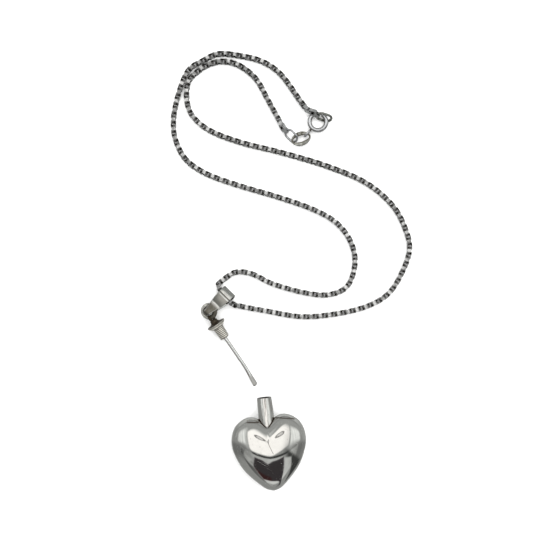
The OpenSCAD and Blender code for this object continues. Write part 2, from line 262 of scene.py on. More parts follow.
@dataclass(frozen=True)
class Silver:
    """Silver whose bright and darkened parts differ in colour and gloss; the darkened parts are tarnish, and
    painted shade where a piece's mask paints it.
    """

    name: str
    bright: Colour = (0.86, 0.85, 0.83)
    # Colour of tarnish, and of painted shade where a piece's mask paints it
    dark: Colour = (0.10, 0.07, 0.045)
    gloss: float = 0.08
    dull: float = 0.45
    cloud: float = 0.10
    cloud_scale: float = 0.5
    grain: float = 0.02
    grain_scale: float = 6.0
    satin: float = 0.0
    scuff: float = 0.08

    def make(self, place: Matrix, darkening: Callable[[Graph, Sock], Sock]) -> bpy.types.Material:
        """Build the material.

        Args:
            place: the piece's place, in millimetres.
            darkening: gives the mask of tarnish and painted shade from the graph and the piece's coordinates.

        Returns:
            The material.
        """
        material = bpy.data.materials.new(self.name)
        material.use_nodes = True
        graph = Graph(material.node_tree)
        own = graph.local(place)
        mask = darkening(graph, own)
        cloud = graph.noise(own, self.cloud_scale, 4.0)
        fine = graph.noise(own, self.grain_scale, 3.0)
        marks = graph.scratches(own, 35.0, 2.5).most(graph.scratches(own, -62.0, 3.1))
        clouded = tuple(c * (1 - self.cloud) for c in self.bright)
        tone = graph.blend(cloud.rise(0.35, 0.7), self.bright, clouded)
        colour = graph.blend(mask, tone, self.dark)
        rough = self.gloss + (cloud - 0.4).most(0.0) * self.cloud + marks * self.scuff
        rough = rough + mask * (self.dull - self.gloss)
        height = fine * self.grain - marks * self.grain * 0.6
        bump = graph.add("ShaderNodeBump", {}, {"Strength": 0.25, "Distance": 0.00002, "Height": height})
        inputs = {"Base Color": colour, "Metallic": 1 - self.satin, "Roughness": rough, "Normal": bump}
        shader = graph.add("ShaderNodeBsdfPrincipled", {}, inputs)
        graph.node("ShaderNodeOutputMaterial", {}, {"Surface": shader})
        return material


def no_wear(graph: Graph, own: Sock) -> Sock:
    """Only faint clouds of tarnish."""
    return graph.noise(own, 0.8).rise(0.62, 0.9) * 0.35


# Modelling by hand


def turn(axis: str, degrees: float) -> Matrix:
    """A rotation about one axis."""
    return Matrix.Rotation(math.radians(degrees), 4, axis)


def at(point: Sequence[float]) -> Matrix:
    """A move to a point."""
    return Matrix.Translation(Vector(point))


def clear() -> None:
    """Leave edit mode with nothing selected."""
    if bpy.context.object and bpy.context.object.mode != "OBJECT":
        bpy.ops.object.mode_set(mode="OBJECT")
    bpy.ops.object.select_all(action="DESELECT")


def edit(mode: str = "VERT") -> None:
    """Enter edit mode with everything selected.

    Args:
        mode: what can be picked there: VERT, EDGE or FACE.
    """
    bpy.ops.object.mode_set(mode="EDIT")
    bpy.ops.mesh.select_mode(type=mode)
    bpy.ops.mesh.select_all(action="SELECT")


def pick(piece: bpy.types.Object, wanted: Callable[[object], bool], kind: str = "polygons") -> None:
    """Select the faces, edges or vertices of the piece in edit mode that a test wants.

    Args:
        piece: the object that is in edit mode.
        wanted: the test, given one face, edge or vertex.
        kind: polygons, edges or vertices.
    """
    bpy.ops.object.mode_set(mode="OBJECT")
    for group in (piece.data.vertices, piece.data.edges, piece.data.polygons):
        group.foreach_set("select", [False] * len(group))
    for item in getattr(piece.data, kind):
        item.select = wanted(item)
    bpy.ops.object.mode_set(mode="EDIT")
    bpy.ops.mesh.select_mode(type={"polygons": "FACE", "edges": "EDGE", "vertices": "VERT"}[kind])


def started(name: str) -> bpy.types.Object:
    """Name the primitive that was just added.

    Args:
        name: its name.

    Returns:
        The object.
    """
    piece = bpy.context.object
    piece.name = name
    piece.data.name = name
    return piece


def tidy(merge: float = 0.0001) -> None:
    """In edit mode: merge doubles, and turn all faces outwards.

    Args:
        merge: vertices closer than this become one, in millimetres.
    """
    bpy.ops.mesh.select_all(action="SELECT")
    bpy.ops.mesh.remove_doubles(threshold=merge)
    bpy.ops.mesh.normals_make_consistent(inside=False)
    bpy.ops.object.mode_set(mode="OBJECT")


def modify(piece: bpy.types.Object, kind: str, **settings: object) -> None:
    """Add a modifier and apply it.

    Args:
        piece: the object.
        kind: the modifier's type.
        settings: its properties.
    """
    made = piece.modifiers.new(kind.lower(), kind)
    for key, value in settings.items():
        setattr(made, key, value)
    with bpy.context.temp_override(object=piece, active_object=piece, selected_objects=[piece]):
        bpy.ops.object.modifier_apply(modifier=made.name)


def smooth(piece: bpy.types.Object, angle: float = 35.0) -> None:
    """Shade smooth, with sharp edges past an angle.

    Args:
        piece: the object.
        angle: the angle, in degrees.
    """
    clear()
    piece.select_set(True)
    bpy.context.view_layer.objects.active = piece
    bpy.ops.object.shade_smooth_by_angle(angle=math.radians(angle))


def settle(piece: bpy.types.Object, place: Matrix) -> None:
    """Put a piece that was modelled in millimetres in place, in its mesh.

    Args:
        piece: the object.
        place: its place, in millimetres.
    """
    piece.data.transform(Matrix.Scale(MM, 4) @ place @ piece.matrix_world)
    piece.matrix_world = Matrix.Identity(4)
    piece.data.update()


def settle_here(piece: bpy.types.Object) -> None:
    """Move a new primitive's place into its mesh, still in millimetres."""
    piece.data.transform(piece.matrix_world)
    piece.matrix_world = Matrix.Identity(4)


def join(name: str, pieces: Sequence[bpy.types.Object]) -> bpy.types.Object:
    """Join several objects into the first.

    Args:
        name: the name of the result.
        pieces: the objects.

    Returns:
        The joined object.
    """
    clear()
    for piece in pieces:
        piece.select_set(True)
    bpy.context.view_layer.objects.active = pieces[0]
    bpy.ops.object.join()
    return started(name)


def turned(
    name: str, profile: Sequence[tuple[float, float]], sides: int, ring: bool = False
) -> bpy.types.Object:
    """Turn a profile about +Z, ring by ring.

    Args:
        name: the piece's name.
        profile: (radius, height) of each ring, where a radius of 0 closes to a point.
        sides: vertices in a ring.
        ring: whether the last ring meets the first.

    Returns:
        The closed mesh object.
    """
    clear()
    rings = [(max(r, 0.001), z) for r, z in profile]
    bpy.ops.mesh.primitive_circle_add(vertices=sides, radius=rings[0][0], location=(0, 0, rings[0][1]))
    piece = started(name)
    settle_here(piece)
    edit()
    for (r0, z0), (r1, z1) in zip(rings, rings[1:]):
        bpy.ops.mesh.extrude_region_move(TRANSFORM_OT_translate={"value": (0, 0, z1 - z0)})
        bpy.ops.transform.resize(value=(r1 / r0, r1 / r0, 1), center_override=(0, 0, z1))
    bpy.ops.mesh.select_all(action="DESELECT")
    bpy.ops.mesh.select_non_manifold()
    if ring:
        bpy.ops.mesh.bridge_edge_loops()
    else:
        bpy.ops.mesh.edge_face_add()
    tidy(0.0005)
    return piece


def ring_of_wire(name: str, length: float, width: float, wire: float, sides: int = 16) -> bpy.types.Object:
    """Oval ring of round wire, long along X, spun round its two ends.

    Args:
        name: the piece's name.
        length: length over the wire.
        width: width over the wire.
        wire: diameter of the wire.
        sides: sides of the wire.

    Returns:
        The mesh object.
    """
    clear()
    radius = (width - wire) / 2
    straight = length - width
    bpy.ops.mesh.primitive_circle_add(
        vertices=sides, radius=wire / 2, location=(straight / 2, -radius, 0), rotation=(0, math.pi / 2, 0)
    )
    piece = started(name)
    settle_here(piece)
    edit()
    for side in (1, -1):
        bpy.ops.mesh.spin(steps=20, angle=math.pi, center=(side * straight / 2, 0, 0), axis=(0, 0, -1))
        if straight > 0.01:
            bpy.ops.mesh.extrude_region_move(TRANSFORM_OT_translate={"value": (-side * straight, 0, 0)})
    tidy(0.005)
    return piece


def copied_node(name: str, node: str, bevel: float, angle: float = 35.0) -> bpy.types.Object:
    """A merged copy of a CAD node with its sharp edges softened, still in place.

    Args:
        name: the piece's name.
        node: the CAD node.
        bevel: width of the softened edges, in millimetres.
        angle: edges sharper than this are softened.

    Returns:
        The mesh object, in metres.
    """
    clear()
    mesh = bpy.data.objects[node].data.copy()
    mesh.materials.clear()
    piece = bpy.data.objects.new(name, mesh)
    bpy.context.scene.collection.objects.link(piece)
    piece.select_set(True)
    bpy.context.view_layer.objects.active = piece
    piece.data.transform(Matrix.Scale(1 / MM, 4))
    edit()
    bpy.ops.mesh.remove_doubles(threshold=0.002)
    bpy.ops.mesh.dissolve_degenerate(threshold=0.002)
    bpy.ops.mesh.normals_make_consistent(inside=False)
    bpy.ops.object.mode_set(mode="OBJECT")
    if bevel:
        modify(piece, "BEVEL", width=bevel, segments=2, limit_method="ANGLE", angle_limit=math.radians(angle))
    smooth(piece, angle)
    piece.data.transform(Matrix.Scale(MM, 4))
    return piece


def finish(piece: bpy.types.Object, material: bpy.types.Material, slot: Slot, *nodes: str) -> None:
    """Dress a piece, let it ride on its body and stand for its CAD nodes.

    Args:
        piece: the finished object.
        material: its finish.
        slot: not used.
        nodes: the CAD nodes that it replaces.
    """
    piece.data.materials.clear()
    piece.data.materials.append(material)
    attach(piece, "bolt" if "clasp_bolt" in nodes else "necklace")
    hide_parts(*nodes)
    log.info("%s: %d faces", piece.name, len(piece.data.polygons))


def curve_through(a: Vector, b: Vector, c: Vector, d: Vector, t: float) -> Vector:
    """A point of the smooth curve from b to c, with a and d beside them."""
    return (2 * b + (c - a) * t + (2 * a - 5 * b + 4 * c - d) * t * t + (3 * b - a - 3 * c + d) * t**3) / 2


# Heart bottle


@dataclass
class HeartBottle:
    """Puffed heart bottle with its screw neck, soldered in one."""

    place: Matrix = field(default_factory=lambda: at((-5.9, -74, 5.75)) @ turn("Z", 6.25))
    half_width: float = 12.55
    height: float = 25.2
    half_thick: float = 5.75
    middle: float = 0.6
    seam: float = 0.25
    rings: int = 20
    steps: int = 5
    fullness: float = 0.46
    tightness: float = 0.16
    valley: float = 0.7
    valley_round: float = 0.35
    valley_reach: float = 1.5
    valley_from: float = 11.5
    valley_length: float = 9
    neck_top: float = 31.3
    neck_low: float = 20.3
    neck_radius: float = 2.45
    neck_base: float = 2.75
    bore: float = 1.95
    lip: float = 0.12
    neck_sides: int = 64
    vee_low: float = 20.9
    vee_slope: float = 1.25
    left_solder: float = 23.2
    right_solder: float = 24.5
    # Right half of the outline from the tip, as shares of the half width and the height
    outline: tuple[tuple[float, float], ...] = (
        (0, 0), (0.2, 0.035), (0.47, 0.155), (0.74, 0.31), (0.91, 0.48), (0.99, 0.62),
        (0.975, 0.76), (0.87, 0.885), (0.66, 0.97), (0.45, 1), (0.24, 0.97), (0, 0.885),
    )

    def rim(self) -> list[Vector]:
        """The heart's outline from its tip, up the right side and down the left.

        Returns:
            Its points, in millimetres.
        """
        rows = [Vector((x * self.half_width, y * self.height, 0)) for x, y in self.outline]
        last = len(rows) - 1
        half = [
            curve_through(rows[max(i - 1, 0)], rows[i], rows[i + 1], rows[min(i + 2, last)], k / self.steps)
            for i in range(last)
            for k in range(self.steps)
        ]
        left = [Vector((-p.x, p.y, 0)) for p in reversed(half[1:])]
        return [*half, rows[last], *left]

    def swell(self, piece: bpy.types.Object, on_rim: np.ndarray) -> np.ndarray:
        """How far a sheet blown up inside the outline rises at each vertex, from 0 to 1.

        Args:
            piece: the flat heart.
            on_rim: true for the vertices that stay down.

        Returns:
            One value a vertex.
        """
        mesh = piece.data
        count = len(mesh.vertices)
        spots = np.array([v.co[:2] for v in mesh.vertices])
        mesh.calc_loop_triangles()
        corners = np.array([t.vertices[:] for t in mesh.loop_triangles])
        stiff = np.zeros((count, count))
        weight = np.zeros(count)
        # Half the cotangent at a corner ties the other two, and a third of the area loads it
        for k in range(3):
            i, j, o = corners[:, k], corners[:, (k + 1) % 3], corners[:, (k + 2) % 3]
            u = spots[i] - spots[o]
            v = spots[j] - spots[o]
            cross = np.abs(u[:, 0] * v[:, 1] - u[:, 1] * v[:, 0]) + 1e-9
            pull = np.clip((u * v).sum(1) / cross / 2, -5, 5)
            for a, b, s in ((i, j, -1), (j, i, -1), (i, i, 1), (j, j, 1)):
                np.add.at(stiff, (a, b), s * pull)
            np.add.at(weight, o, cross / 6)
        system = stiff + np.diag(weight * self.tightness**2)
        free = ~on_rim
        rise = np.zeros(count)
        rise[free] = np.linalg.solve(system[np.ix_(free, free)], weight[free])
        return rise / rise.max()

    def shell(self) -> bpy.types.Object:
        """The puffed heart: its outline drawn in ring by ring, blown up and mirrored.

        Returns:
            The closed mesh object, in millimetres.
        """
        clear()
        rim = self.rim()
        bpy.ops.mesh.primitive_circle_add(vertices=len(rim), radius=self.half_width)
        piece = started("heart_shell")
        for vertex, spot in zip(piece.data.vertices, rim):
            vertex.co = spot
        edit()
        centre = (0, self.middle * self.height, 0)
        scales = [math.cos(math.pi / 2 * k / self.rings) ** 0.9 for k in range(self.rings)]
        for now, then in zip(scales, scales[1:]):
            bpy.ops.mesh.extrude_region_move()
            bpy.ops.transform.resize(value=(then / now, then / now, 1), center_override=centre)
        bpy.ops.mesh.extrude_region_move()
        bpy.ops.mesh.merge(type="CENTER")
        bpy.ops.object.mode_set(mode="OBJECT")
        count = len(rim)
        on_rim = np.arange(len(piece.data.vertices)) < count
        rise = self.swell(piece, on_rim)
        for vertex, share in zip(piece.data.vertices, rise):
            full = self.seam + (self.half_thick - self.seam) * max(share, 0) ** self.fullness
            aside = math.hypot(vertex.co.x, self.valley_round) - self.valley_round
            along = min(max((vertex.co.y - self.valley_from) / self.valley_length, 0), 1)
            fold = math.exp(-aside / self.valley_reach) * along ** 2
            vertex.co.z = full - self.valley * fold * (full - self.seam) / self.half_thick
        edit()
        pick(piece, lambda v: v.index < count, "vertices")
        bpy.ops.mesh.extrude_region_move(TRANSFORM_OT_translate={"value": (0, 0, -self.seam)})
        bpy.ops.object.mode_set(mode="OBJECT")
        modify(piece, "MIRROR", use_axis=(False, False, True), merge_threshold=0.001)
        modify(piece, "SUBSURF", levels=1, render_levels=1)
        edit()
        tidy()
        smooth(piece, 60)
        return piece

    def neck(self) -> bpy.types.Object:
        """The tapered screw neck with its bore and rounded mouth, along +Y.

        Returns:
            The closed mesh object, in millimetres.
        """
        length = self.neck_top - self.neck_low
        corner = 0.3 * self.lip
        profile = [
            (self.neck_base, 0),
            (self.neck_radius, length - self.lip),
            (self.neck_radius - corner, length - corner),
            (self.neck_radius - self.lip, length),
            (self.bore + self.lip, length),
            (self.bore, length - self.lip),
            (self.bore, 0),
        ]
        piece = turned("neck_tube", profile, self.neck_sides, ring=True)
        piece.data.transform(at((0, self.neck_low, 0)) @ turn("X", -90))
        edit()
        tidy()
        smooth(piece, 40)
        return piece

    def darkening(self, graph: Graph, own: Sock) -> Sock:
        """Tarnish: the joint of neck and heart, the solder lines, pits, the mouth and one scratch.

        Args:
            graph: the material's nodes.
            own: the piece's own coordinates in millimetres.

        Returns:
            The mask.
        """
        x, y, z = graph.parts(own)
        wide = abs(x)
        wobble = graph.noise(own, 1.6)
        vee = (y - (self.vee_low + wide * self.vee_slope)) / (1.0 + wobble)
        from_axis = (x * x + z * z) ** 0.5
        joint = abs(vee).rise(0.42, 0.08) * from_axis.rise(3.6, 3.0) * z.rise(-0.5, 0.4)
        sway = (graph.noise(graph.scaled(own, (0.35, 1, 1)), 1.4) - 0.5) * 0.3
        left = abs(y - (self.left_solder - x * 0.115) - sway).rise(0.34, 0.1) * x.band(-6.6, -2.6, 0.3)
        right = abs(y - (self.right_solder - x * x * 0.013) - sway).rise(0.3, 0.06) * x.band(2.6, 9.3, 0.6)
        solder = left.most(right) * z.rise(0.5, 1.2)
        cells = {"Vector": own, "Scale": 0.75}
        kept = graph.parts(graph.add("ShaderNodeTexVoronoi", {}, cells, "Color"))[0].rise(0.5, 0.6)
        pits = graph.add("ShaderNodeTexVoronoi", {}, cells, "Distance").rise(0.1, 0.05) * kept * 0.75
        mouth = y.rise(self.neck_top - 0.15, self.neck_top) * 0.7
        drawn = graph.noise(graph.scaled(own, (1.9, 0.16, 1.9)), 1.0, 4.0).rise(0.5, 0.64)
        above = (y - wide * self.vee_slope).rise(self.vee_low - 0.3, self.vee_low + 0.3)
        streaks = drawn * from_axis.rise(3.0, 2.8) * above * 0.42
        scratch = abs(x + (y - 16.63) * 0.37 + 0.26).rise(0.11, 0.05) * y.band(13.0, 16.5, 0.1)
        scratch = scratch * z.rise(2, 3) * 0.85
        darkened = joint.most(solder * 0.8).most(pits * z.rise(1.0, 2.0)).most(mouth)
        return darkened.most(streaks).most(scratch).least(1.0)

    def build(self) -> None:
        """Model the bottle and dress it."""
        piece = join("heart_bottle", [self.shell(), self.neck()])
        settle(piece, self.place)
        metal = Silver(
            "mirror_silver", dark=(0.09, 0.05, 0.03), gloss=0.06, cloud=0.05, grain=0.010, scuff=0.3
        )
        finish(piece, metal.make(self.place, self.darkening), Slot.POLISHED, "bottle")


# Stopper and rod


@dataclass
class Stopper:
    """Screw stopper with its eye, flared collar, threaded plug and dip rod."""

    spot: tuple[float, float] = (-25.4, -18.65)
    heading: float = 124
    lean: float = 6.6
    collar: float = 3.3
    flare_top: float = 1.5
    flare_low: float = 0.42
    stem: float = 1.25
    plug: float = 1.85
    plug_tip: float = 1.7
    plug_top: float = 0.7
    pitch: float = 0.57
    crests: int = 8
    depth: float = 0.25
    eye_turn: float = 60
    eye_height: float = 2.9
    eye_radius: float = 1.2
    eye_wire: float = 0.9
    sides: int = 64
    thread_steps: int = 28
    rod: float = 0.55
    rod_sides: int = 24
    rod_inside: float = 1.9
    rod_top: float = 11.7
    rod_end: float = 8.1
    bend: float = 4.6
    bend_over: float = 3.0
    paddle_length: float = 6.0
    paddle_turn: float = -30

    @property
    def place(self) -> Matrix:
        """Lying on the collar's rim, with the rod's tip down."""
        height = self.collar * math.cos(math.radians(self.lean))
        return at((*self.spot, height)) @ turn("Z", self.heading) @ turn("Y", 90 - self.lean)

    @property
    def plug_length(self) -> float:
        """From the collar to the end of the plug."""
        return self.plug_top + self.pitch * self.crests

    def body(self) -> bpy.types.Object:
        """Stem, flare, rim and plain core, turned in one.

        Returns:
            The closed mesh object, in millimetres.
        """
        core = self.plug - self.depth
        tip = self.plug_tip - self.depth
        bottom = -self.plug_length
        across = self.collar - self.stem
        drop = self.flare_top - self.flare_low
        angles = [math.radians(d) for d in range(0, 81, 8)]
        flare = [(self.collar - across * math.cos(a), self.flare_top - drop * math.sin(a)) for a in angles]
        profile = [
            (0, 2.25), (0.7, 2.2), (1.1, 2.0), (self.stem, 1.8), *flare,
            (self.collar - 0.05, 0.4), (self.collar, 0.3), (self.collar, 0.2), (self.collar - 0.05, 0.1),
            (3.1, -0.14), (2.9, -0.36), (2.65, -0.56), (2.48, -0.66), (2.46, -0.78), (2.36, -0.88),
            (2.0, -0.9), (self.plug, -0.93), (self.plug, -1.0), (core, -1.06),
            (tip, bottom + 0.08), (tip - 0.08, bottom), (self.rod + 0.04, bottom),
            (self.rod + 0.03, bottom + 2.0), (0, bottom + 2.0),
        ]
        return turned("stopper_body", profile, self.sides)

    def thread(self) -> bpy.types.Object:
        """One helical crest, wound down the core.

        Returns:
            The closed mesh object, in millimetres.
        """
        clear()
        bpy.ops.mesh.primitive_plane_add(size=1)
        piece = started("thread")
        core = self.plug - self.depth
        section = [(core - 0.1, 0.1), (core - 0.1, -0.3), (self.plug, -0.19), (self.plug, -0.01)]
        plane_corners = (0, 1, 3, 2)
        for k, (r, z) in zip(plane_corners, section):
            piece.data.vertices[k].co = (r, 0, z - self.plug_top - 0.1)
        edit()
        bpy.ops.mesh.delete(type="ONLY_FACE")
        bpy.ops.object.mode_set(mode="OBJECT")
        turns = self.crests - 0.6
        steps = int(self.thread_steps * turns)
        modify(
            piece, "SCREW", angle=math.tau * turns, screw_offset=-self.pitch * turns,
            steps=steps, render_steps=steps, use_normal_calculate=True,
        )
        for vertex in piece.data.vertices:
            share = (-vertex.co.z - self.plug_top) / (self.plug_length - self.plug_top)
            ease = 1 - (self.plug - self.plug_tip) / self.plug * share
            vertex.co.xy *= ease
        edit()
        bpy.ops.mesh.select_all(action="DESELECT")
        bpy.ops.mesh.select_non_manifold()
        bpy.ops.mesh.edge_face_add()
        tidy()
        return piece

    def eye(self) -> bpy.types.Object:
        """Small closed eye, sunk into solder on the stem.

        Returns:
            The closed mesh object, in millimetres.
        """
        width = 2 * self.eye_radius + self.eye_wire
        piece = ring_of_wire("eye", width + 0.02, width, self.eye_wire, 18)
        piece.data.transform(at((0, 0, self.eye_height)) @ turn("Z", self.eye_turn) @ turn("Y", 90))
        return piece

    def darkening(self, graph: Graph, own: Sock) -> Sock:
        """Tarnish on the flare, eye and thread roots over a warm plug, with painted shade on the eye, under
        the collar, on the collar's rim band and down the plug's sides.

        Args:
            graph: the material's nodes.
            own: the piece's own coordinates in millimetres.

        Returns:
            The mask.
        """
        x, y, z = graph.parts(own)
        radius = (x * x + y * y) ** 0.5
        blotch = graph.noise(own, 1.2, 4.0)
        flare = z.rise(0.3, 0.42)
        taper = (z + self.plug_top) * ((self.plug_tip - self.plug) / (self.plug_length - self.plug_top))
        root = (radius + taper).rise(1.76, 1.64) * z.rise(-0.95, -1.05)
        # Painted shade under the collar, where it meets the plug.
        shade = z.band(-1.1, -0.74, 0.05)
        # Painted shade down the plug's sides, leaving its top bright.
        sides = (x / radius).rise(-0.85, -0.3) * z.rise(-0.95, -1.05) * 0.5
        # Painted shade: the collar's rim band is greyed and its outer edge darkened, so the clear gap below
        # it stands as a painted highlight line.
        rim = z.band(-0.3, 0.3, 0.06) * (0.42 + radius.rise(3.0, 3.28) * 0.25)
        # The flare is dark with tarnish; the eye, from z 1.8 up, is fully dark with tarnish and painted
        # shade; the thread roots are dark with tarnish.
        darkened = (flare * (0.8 + blotch * 0.4)).most(z.rise(1.8, 2.2)).most(root * 0.76)
        darkened = darkened.most(shade).most(rim).most(sides)
        return darkened.most(blotch.rise(0.58, 0.72) * 0.35).least(1.0)

    def rod_darkening(self, graph: Graph, own: Sock) -> Sock:
        """Painted shade down the rod's two flanks, more on its left; the hammered tip darker, and faint
        clouds of tarnish.

        Args:
            graph: the material's nodes.
            own: the piece's own coordinates in millimetres.

        Returns:
            The mask.
        """
        _, y, z = graph.parts(own)
        bend_z = -self.plug_length - self.rod_top - self.bend_over / 2
        off = y - (bend_z - z).most(0.0) * math.tan(math.radians(self.bend))
        # Painted shade on the rod's flanks, leaving its middle bright.
        left = off.rise(0.14, 0.38) * 0.95
        right = off.rise(-0.24, -0.46) * 0.65
        tip = z.rise(bend_z - 1.6, bend_z - 3.2)
        return (left.most(right) * (1 - tip * 0.5)).most(tip * 0.5).most(no_wear(graph, own))

    def build(self) -> None:
        """Model the stopper and the rod, and dress them."""
        piece = join("screw_stopper", [self.body(), self.thread(), self.eye()])
        settle(piece, self.place)
        smooth(piece, 32)
        metal = Silver(
            "warm_silver_tarnish_and_shade", bright=(0.96, 0.93, 0.85), dark=(0.045, 0.034, 0.022),
            gloss=0.3, dull=0.38, cloud=0.15, cloud_scale=1.2, grain=0.04, satin=0.36,
        )
        finish(piece, metal.make(self.place, self.darkening), Slot.TARNISHED, "stopper")
        self.build_rod()

    def build_rod(self) -> None:
        """The dip rod: round, bent a little and hammered flat at its tip."""
        clear()
        start = -self.plug_length + self.rod_inside
        bend_at = -self.plug_length - self.rod_top
        bpy.ops.mesh.primitive_circle_add(
            vertices=self.rod_sides, radius=self.rod, fill_type="NGON", location=(0, 0, start)
        )
        piece = started("flattened_rod")
        settle_here(piece)
        edit()
        flat_from = self.rod_end - self.paddle_length
        flat_axes = tuple(map(tuple, turn("Z", self.paddle_turn).to_3x3()))
        # How far past the bend each ring is, and how it is squeezed there
        stations = [
            (0.3, None),
            (1.2, None),
            (flat_from, None),
            (flat_from + 1.6, (0.8, 1.2)),
            (flat_from + 3.6, (0.75, 1.28)),
            (self.rod_end - 0.7, (0.9, 1.1)),
            (self.rod_end - 0.22, (0.9, 0.86)),
            (self.rod_end, (0.7, 0.5)),
        ]
        spot = Vector((0, 0, start))
        for z in (start - 4, start - 9, bend_at + 0.3):
            bpy.ops.mesh.extrude_region_move(TRANSFORM_OT_translate={"value": (0, 0, z - spot.z)})
            spot = Vector((0, 0, z))
        done = 0.0
        for along, squeeze in stations:
            lean = turn("X", self.bend * min(along / self.bend_over, 1))
            goal = spot + lean @ Vector((0, 0, done - along))
            done = along
            bpy.ops.mesh.extrude_region_move(TRANSFORM_OT_translate={"value": goal - spot})
            spot = goal
            if squeeze:
                bpy.ops.transform.resize(
                    value=(*squeeze, 1), center_override=goal, orient_type="GLOBAL",
                    orient_matrix_type="GLOBAL", orient_matrix=flat_axes,
                )
        tidy()
        modify(piece, "BEVEL", width=0.12, segments=2, limit_method="ANGLE", angle_limit=math.radians(50))
        settle(piece, self.place)
        smooth(piece, 45)
        metal = Silver(
            "bright_rod_silver", bright=(0.9, 0.91, 0.9), gloss=0.16, cloud=0.1, grain=0.03, satin=0.26
        )
        finish(piece, metal.make(self.place, self.rod_darkening), Slot.BRIGHT, "dip_rod")


# Bail and jump ring


@dataclass
class BailAndRing:
    """Folded bail that the chain runs through, and the jump ring at its foot."""

    place: Matrix = field(
        default_factory=lambda: at((-22.2, -8.7, 2.4)) @ turn("Z", 222.8) @ turn("Y", -21.5) @ turn("X", 8)
    )
    ring_place: Matrix = field(
        default_factory=lambda: at((-27.85, -14.1, 4.1)) @ turn("Z", -50) @ turn("X", 22)
    )
    roll: float = 1.89
    foot: float = 1.09
    foot_x: float = 8.8
    thick: float = 0.42
    half_width: float = 2.425
    # Places along the bail, and the strip's share of its full width there
    taper: tuple[tuple[float, float], ...] = ((-3, 1), (2.5, 0.96), (5.6, 0.73), (8.1, 0.52), (10.2, 0.4))
    # Side view of the upper leaf: places along the bail, and its height there
    leaf: tuple[tuple[float, float], ...] = (
        (1.02, 1.45), (1.14, 1.44), (1.34, 1.58), (1.46, 1.59), (1.72, 1.42), (3.4, 1.35), (4.95, 1.28),
        (5.15, 1.38), (5.4, 1.25), (6.8, 1.17),
    )
    open_from: float = 1.5
    ring_size: float = 5.8
    ring_wire: float = 1.5

    def path(self) -> list[tuple[float, float]]:
        """Side view of the strip's middle, once round from the upper leaf.

        Returns:
            (x, z) of each bend.
        """
        round_roll = np.radians(np.linspace(60, 311, 18))
        round_foot = np.radians(np.linspace(-90, 90, 9))
        roll = [(self.roll * math.cos(a), self.roll * math.sin(a)) for a in round_roll]
        foot = [(self.foot_x + self.foot * math.cos(a), self.foot * math.sin(a)) for a in round_foot]
        under = [(x, -z) for x, z in self.leaf if x > self.open_from]
        return [*roll, *under, *foot, *reversed(self.leaf)]

    def share(self, x: float) -> float:
        """Half width of the strip at a place along the bail."""
        xs, ys = zip(*self.taper)
        return float(np.interp(x, xs, ys)) * self.half_width

    def strip(self) -> bpy.types.Object:
        """The strip, extruded edge by edge round its path and given its thickness.

        Returns:
            The closed mesh object, in millimetres.
        """
        clear()
        path = self.path()
        x, z = path[0]
        bpy.ops.mesh.primitive_plane_add(size=1)
        piece = started("folded_bail")
        first, second = piece.data.vertices[:2]
        first.co = (x, -self.share(x), z)
        second.co = (x, self.share(x), z)
        edit()
        pick(piece, lambda v: v.index > 1, "vertices")
        bpy.ops.mesh.delete(type="VERT")
        bpy.ops.mesh.select_all(action="SELECT")
        for (x0, z0), (x1, z1) in zip(path, path[1:]):
            bpy.ops.mesh.extrude_region_move(TRANSFORM_OT_translate={"value": (x1 - x0, 0, z1 - z0)})
            ratio = self.share(x1) / self.share(x0)
            bpy.ops.transform.resize(value=(1, ratio, 1), center_override=(x1, 0, z1))
        bpy.ops.mesh.select_all(action="DESELECT")
        bpy.ops.object.mode_set(mode="OBJECT")
        count = len(piece.data.vertices)
        edit()
        pick(piece, lambda v: v.index in (0, 1, count - 2, count - 1), "vertices")
        bpy.ops.mesh.edge_face_add()
        tidy()
        modify(piece, "SOLIDIFY", thickness=self.thick, offset=0, use_even_offset=True)
        modify(piece, "BEVEL", width=0.07, segments=2, limit_method="ANGLE", angle_limit=math.radians(60))
        return piece

    def darkening(self, graph: Graph, own: Sock) -> Sock:
        """Tarnish: the foot, the crease, the leaf and the inside, with a painted highlight along the foot's
        edges.

        Args:
            graph: the material's nodes.
            own: the piece's own coordinates in millimetres.

        Returns:
            The mask.
        """
        x, y, z = graph.parts(own)
        blotch = graph.noise(own, 0.9, 4.0)
        # Painted highlight: the foot's edges are left light.
        edge_highlight = (abs(y) + (x - 5.6) * 0.174).rise(1.48, 1.62) * 0.7
        foot = x.rise(5.3, 6.6) * (0.6 + blotch * 0.4) * z.rise(-0.3, 0.3) * (1 - edge_highlight)
        crease = abs(x - 1.06).rise(0.16, 0.06) * 0.85
        leaf = x.band(1.85, 5.0, 0.15) * z.rise(0.2, 0.8) * (0.42 + blotch * 0.2)
        inside = (x * x + z * z).rise(3.4, 3.0) * x.rise(2.0, 1.2)
        return foot.most(crease).most(leaf).most(inside).most(blotch.rise(0.62, 0.8) * 0.15).least(1.0)

    def ring_darkening(self, graph: Graph, own: Sock) -> Sock:
        """Tarnish: the ring's cut and its inner side; its right half, under the bail's foot, darker with
        tarnish and painted shadow.

        Args:
            graph: the material's nodes.
            own: the piece's own coordinates in millimetres.

        Returns:
            The mask.
        """
        x, y, _ = graph.parts(own)
        blotch = graph.noise(own, 1.1, 4.0)
        cut = abs(y).rise(0.10, 0.03) * x.rise(0.5, 1.0)
        inner = ((x * x + y * y) ** 0.5).rise(2.0, 1.8)
        # Tarnish and painted shadow: the right half, under the bail's foot, darker.
        under = (x * 0.64 + y * 0.77).rise(-1.2, 0.2) * 0.85
        return (blotch.rise(0.45, 0.7) * 0.4).most(cut).most(inner * 0.9).most(under).least(1.0)

